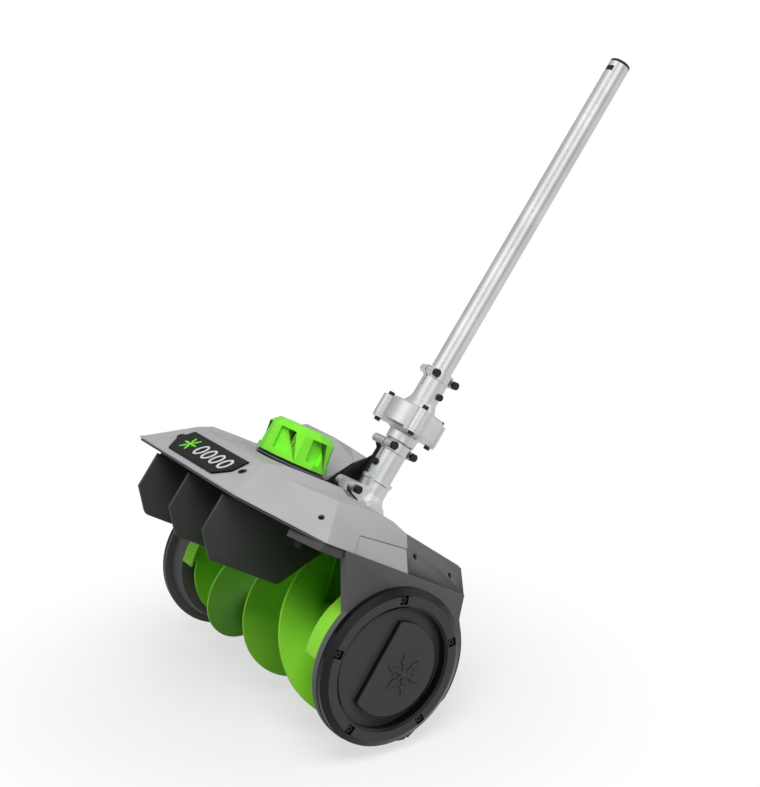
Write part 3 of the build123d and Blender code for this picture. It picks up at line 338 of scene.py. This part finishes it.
def softbox(name, azimuth, rise, distance, size, power, at=Vector((0.05, 0, 0.1))):
    data = bpy.data.lights.new(name, "AREA")
    data.shape = "RECTANGLE"
    data.size, data.size_y = size
    data.energy = power
    lamp = bpy.data.objects.new(name, data)
    lamp.location = at + toward(math.radians(azimuth), math.radians(rise)) * distance
    lamp.visible_glossy = False  # reflections come from the world's panels alone
    look(lamp, at)
    bpy.context.scene.collection.objects.link(lamp)


softbox("key", 58, 57, 1.9, (1.2, 1.0), 27)
softbox("front_left", -30, 6, 2.2, (1.2, 1.0), 8)
softbox("right_fill", 140, 25, 2.3, (1.0, 1.2), 7)

AMBIENT = 0.17
# Brightness of the reflected surroundings at angles about the long tube, in degrees.
SURROUNDINGS = [
    (-180, 0.3), (-100, 0.45), (-44, 0.42), (2, 1.0), (31, 0.46),
    (62, 1.0), (103, 0.4), (128, 1.0), (145, 1.0), (168, 0.65),
]


def build_world():
    """White behind the object, dim all round for its lighting, panels all round in reflections."""
    world = bpy.data.worlds.new("world")
    world.use_nodes = True
    tree = world.node_tree

    def node(kind, **settings):
        made = tree.nodes.new(kind)
        for key, value in settings.items():
            setattr(made, key, value)
        return made

    back = tree.nodes["Background"]
    path = node("ShaderNodeLightPath")
    place = node("ShaderNodeTexCoord")
    across = node("ShaderNodeVectorMath", operation="DOT_PRODUCT")
    across.inputs[1].default_value = (1, 0, 0)
    ahead = node("ShaderNodeVectorMath", operation="DOT_PRODUCT")
    ahead.inputs[1].default_value = (0, -math.sin(SHAFT_LEAN), math.cos(SHAFT_LEAN))
    angle = node("ShaderNodeMath", operation="ARCTAN2")
    turn = node("ShaderNodeMapRange")
    turn.inputs["From Min"].default_value = -math.pi
    turn.inputs["From Max"].default_value = math.pi
    panels = node("ShaderNodeValToRGB")
    panels.color_ramp.interpolation = "EASE"
    while len(panels.color_ramp.elements) < len(SURROUNDINGS):
        panels.color_ramp.elements.new(0.5)
    for stop, (degrees, level) in zip(panels.color_ramp.elements, SURROUNDINGS):
        stop.position = (degrees + 180) / 360
        stop.color = (level, level, level, 1)
    height = node("ShaderNodeSeparateXYZ")
    rise = node("ShaderNodeMapRange")
    rise.inputs["From Min"].default_value = -0.1
    rise.inputs["From Max"].default_value = 0.5
    rise.inputs["To Min"].default_value = 0.7
    rise.inputs["To Max"].default_value = 1.2
    lit = node("ShaderNodeVectorMath", operation="SCALE")
    gloss = node("ShaderNodeMix", data_type="RGBA")
    gloss.inputs[MIX_LOW_COLOR].default_value = (AMBIENT, AMBIENT, AMBIENT, 1)
    seen = node("ShaderNodeMix", data_type="RGBA")
    seen.inputs[MIX_HIGH_COLOR].default_value = (1, 1, 1, 1)
    for source, output, target, socket in (
        (place, "Generated", across, 0), (place, "Generated", ahead, 0), (place, "Generated", height, 0),
        (across, "Value", angle, 0), (ahead, "Value", angle, 1), (angle, "Value", turn, "Value"),
        (turn, "Result", panels, "Fac"), (height, "Z", rise, "Value"), (panels, "Color", lit, 0),
        (rise, "Result", lit, "Scale"), (path, "Is Glossy Ray", gloss, MIX_FACTOR),
        (lit, "Vector", gloss, MIX_HIGH_COLOR), (path, "Is Camera Ray", seen, MIX_FACTOR),
        (gloss, MIX_COLOR_OUT, seen, MIX_LOW_COLOR), (seen, MIX_COLOR_OUT, back, "Color"),
    ):
        tree.links.new(source.outputs[output], target.inputs[socket])
    bpy.context.scene.world = world


build_world()

floor_mesh = bpy.data.meshes.new("floor")
FLOOR_REACH = 6.0
floor_z = cad_box[0][2] - 0.5 * MM
floor_mesh.from_pydata(
    [
        (-FLOOR_REACH, -FLOOR_REACH, floor_z), (FLOOR_REACH, -FLOOR_REACH, floor_z),
        (FLOOR_REACH, FLOOR_REACH, floor_z), (-FLOOR_REACH, FLOOR_REACH, floor_z),
    ],
    [], [(0, 1, 2, 3)],
)
floor = bpy.data.objects.new("floor", floor_mesh)


def floor_material():
    """Pale paper: takes a soft shadow near the object, fades to plain white, and bounces little light."""
    g = Graph("floor")
    tint = g.ramp(g.noise(3, 2), "Fac", (0.93, 0.93, 0.93), (0.96, 0.96, 0.96))
    g.link(tint, "Color", g.shader, "Base Color")
    g.shader.inputs["Roughness"].default_value = 0.9
    g.shader.inputs["Specular IOR Level"].default_value = 0.1
    spot = g.add("ShaderNodeNewGeometry")
    far = g.add("ShaderNodeVectorMath", operation="LENGTH")
    g.link(spot, "Position", far, 0)
    fade = g.add("ShaderNodeMapRange", clamp=True, interpolation_type="SMOOTHSTEP")
    fade.inputs["From Min"].default_value = 0.15
    fade.inputs["From Max"].default_value = 0.45
    fade.inputs["To Min"].default_value = 0.62
    g.link(far, "Value", fade, "Value")
    white = g.add("ShaderNodeEmission")
    paper = g.add("ShaderNodeMixShader")
    g.link(fade, "Result", paper, "Fac")
    g.link(g.shader, "BSDF", paper, 1)
    g.link(white, "Emission", paper, 2)
    dim = g.add("ShaderNodeBsdfDiffuse")
    dim.inputs["Color"].default_value = (0.12, 0.12, 0.12, 1)
    mirrored = g.add("ShaderNodeEmission")
    mirrored.inputs["Strength"].default_value = 0.7
    path = g.add("ShaderNodeLightPath")
    bounced = g.add("ShaderNodeMixShader")
    g.link(path, "Is Glossy Ray", bounced, "Fac")
    g.link(dim, "BSDF", bounced, 1)
    g.link(mirrored, "Emission", bounced, 2)
    seen = g.add("ShaderNodeMixShader")
    g.link(path, "Is Camera Ray", seen, "Fac")
    g.link(bounced, "Shader", seen, 1)
    g.link(paper, "Shader", seen, 2)
    g.link(seen, "Shader", g.out, "Surface")
    return g.material


floor_mesh.materials.append(floor_material())
bpy.context.scene.collection.objects.link(floor)

scene = bpy.context.scene
scene.view_settings.view_transform = "Standard"
scene.view_settings.look = "None"
